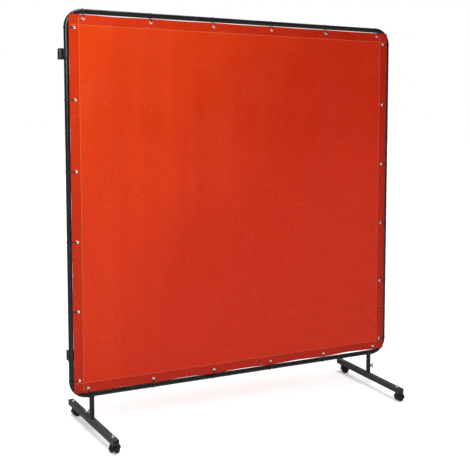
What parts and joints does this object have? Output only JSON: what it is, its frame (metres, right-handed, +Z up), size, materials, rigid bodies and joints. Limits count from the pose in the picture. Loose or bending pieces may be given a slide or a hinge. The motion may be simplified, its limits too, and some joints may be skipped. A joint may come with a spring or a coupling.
{
  "type": "welding curtain screen",
  "caption": "Free-standing welding screen: tinted curtain tied into a bent tube ring on two swivelling castor feet, with clips for linking screens side by side.",
  "frame": {"origin": "on the floor under the middle of the tube ring, in the plane of its centre line", "axes": "+Z up; +X along the panel to the right as seen from the curtain side; -Y towards the curtain side"},
  "size_m": [1.9286, 0.6562, 2.092],
  "materials": {
    "frame_paint": "semi-gloss black powder coat",
    "foot_paint": "satin anthracite powder coat",
    "zinc": "bright zinc plate",
    "black_plastic": "moulded black polyamide",
    "castor_plastic": "moulded black castor nylon",
    "eyelet_metal": "nickel-plated eyelet",
    "curtain_vinyl": "translucent orange-red welding PVC film, glossy"
  },
  "bodies": {
    "panel": {"frame_tube": "frame_paint", "left_leg": "frame_paint", "right_leg": "frame_paint", "left_clamp_nut": "zinc", "right_clamp_nut": "zinc", "curtain": "curtain_vinyl", "tie_top_1": "black_plastic", "tie_top_2": "black_plastic", "tie_top_3": "black_plastic", "tie_top_4": "black_plastic", "tie_top_5": "black_plastic", "tie_top_6": "black_plastic", "tie_bottom_1": "black_plastic", "tie_bottom_2": "black_plastic", "tie_bottom_3": "black_plastic", "tie_bottom_4": "black_plastic", "tie_bottom_5": "black_plastic", "tie_bottom_6": "black_plastic", "tie_left_1": "black_plastic", "tie_left_2": "black_plastic", "tie_left_3": "black_plastic", "tie_left_4": "black_plastic", "tie_left_5": "black_plastic", "tie_left_6": "black_plastic", "tie_right_1": "black_plastic", "tie_right_2": "black_plastic", "tie_right_3": "black_plastic", "tie_right_4": "black_plastic", "tie_right_5": "black_plastic", "tie_right_6": "black_plastic"},
    "left_foot": {"left_foot_tube": "foot_paint", "left_spigot": "foot_paint", "left_foot_front_plug": "black_plastic", "left_foot_rear_plug": "black_plastic", "left_front_stem": "zinc", "left_front_stem_nut": "zinc", "left_rear_stem": "zinc", "left_rear_stem_nut": "zinc"},
    "right_foot": {"right_foot_tube": "foot_paint", "right_spigot": "foot_paint", "right_foot_front_plug": "black_plastic", "right_foot_rear_plug": "black_plastic", "right_front_stem": "zinc", "right_front_stem_nut": "zinc", "right_rear_stem": "zinc", "right_rear_stem_nut": "zinc"},
    "left_wing_bolt": {"left_wing_bolt": "zinc"},
    "right_wing_bolt": {"right_wing_bolt": "zinc"},
    "upper_coupler": {"upper_coupler": "black_plastic"},
    "lower_coupler": {"lower_coupler": "black_plastic"},
    "left_front_castor": {"left_front_hood": "castor_plastic"},
    "left_front_wheels": {"left_front_wheels": "castor_plastic"},
    "left_rear_castor": {"left_rear_hood": "castor_plastic"},
    "left_rear_wheels": {"left_rear_wheels": "castor_plastic"},
    "right_front_castor": {"right_front_hood": "castor_plastic"},
    "right_front_wheels": {"right_front_wheels": "castor_plastic"},
    "right_rear_castor": {"right_rear_hood": "castor_plastic"},
    "right_rear_wheels": {"right_rear_wheels": "castor_plastic"}
  },
  "joints": [
    {"name": "left_foot_swivel", "type": "hinge", "parent": "panel", "child": "left_foot", "pos_m": [-0.837, 0, 0.08], "axis": [0, 0, 1], "range_deg": [-93.5, 86.5]},
    {"name": "right_foot_swivel", "type": "hinge", "parent": "panel", "child": "right_foot", "pos_m": [0.837, 0, 0.08], "axis": [0, 0, 1], "range_deg": [-88, 92]},
    {"name": "left_wing_bolt_turn", "type": "hinge", "parent": "panel", "child": "left_wing_bolt", "pos_m": [-0.837, 0, 0.1203], "axis": [-1, 0, 0], "range_deg": [0, 360]},
    {"name": "right_wing_bolt_turn", "type": "hinge", "parent": "panel", "child": "right_wing_bolt", "pos_m": [0.837, 0, 0.1203], "axis": [1, 0, 0], "range_deg": [0, 360]},
    {"name": "upper_coupler_swivel", "type": "hinge", "parent": "panel", "child": "upper_coupler", "pos_m": [-0.9375, 0, 1.872], "axis": [0, 0, 1], "range_deg": [-90, 90]},
    {"name": "lower_coupler_swivel", "type": "hinge", "parent": "panel", "child": "lower_coupler", "pos_m": [-0.9375, 0, 0.408], "axis": [0, 0, 1], "range_deg": [0, 180]},
    {"name": "left_front_castor_swivel", "type": "hinge", "parent": "left_foot", "child": "left_front_castor", "pos_m": [-0.81954, -0.28547, 0.046], "axis": [0, 0, 1], "continuous": true},
    {"name": "left_front_wheels_roll", "type": "hinge", "parent": "left_front_castor", "child": "left_front_wheels", "pos_m": [-0.80833, -0.27405, 0.02], "axis": [-0.7133, 0.7009, 0], "continuous": true},
    {"name": "left_rear_castor_swivel", "type": "hinge", "parent": "left_foot", "child": "left_rear_castor", "pos_m": [-0.85446, 0.28547, 0.046], "axis": [0, 0, 1], "continuous": true},
    {"name": "left_rear_wheels_roll", "type": "hinge", "parent": "left_rear_castor", "child": "left_rear_wheels", "pos_m": [-0.83868, 0.28811, 0.02], "axis": [-0.165, 0.9863, 0], "continuous": true},
    {"name": "right_front_castor_swivel", "type": "hinge", "parent": "right_foot", "child": "right_front_castor", "pos_m": [0.82702, -0.28583, 0.046], "axis": [0, 0, 1], "continuous": true},
    {"name": "right_front_wheels_roll", "type": "hinge", "parent": "right_front_castor", "child": "right_front_wheels", "pos_m": [0.84302, -0.28583, 0.02], "axis": [0, 1, 0], "continuous": true},
    {"name": "right_rear_castor_swivel", "type": "hinge", "parent": "right_foot", "child": "right_rear_castor", "pos_m": [0.84698, 0.28583, 0.046], "axis": [0, 0, 1], "continuous": true},
    {"name": "right_rear_wheels_roll", "type": "hinge", "parent": "right_rear_castor", "child": "right_rear_wheels", "pos_m": [0.86202, 0.28035, 0.02], "axis": [0.342, 0.9397, 0], "continuous": true}
  ]
}
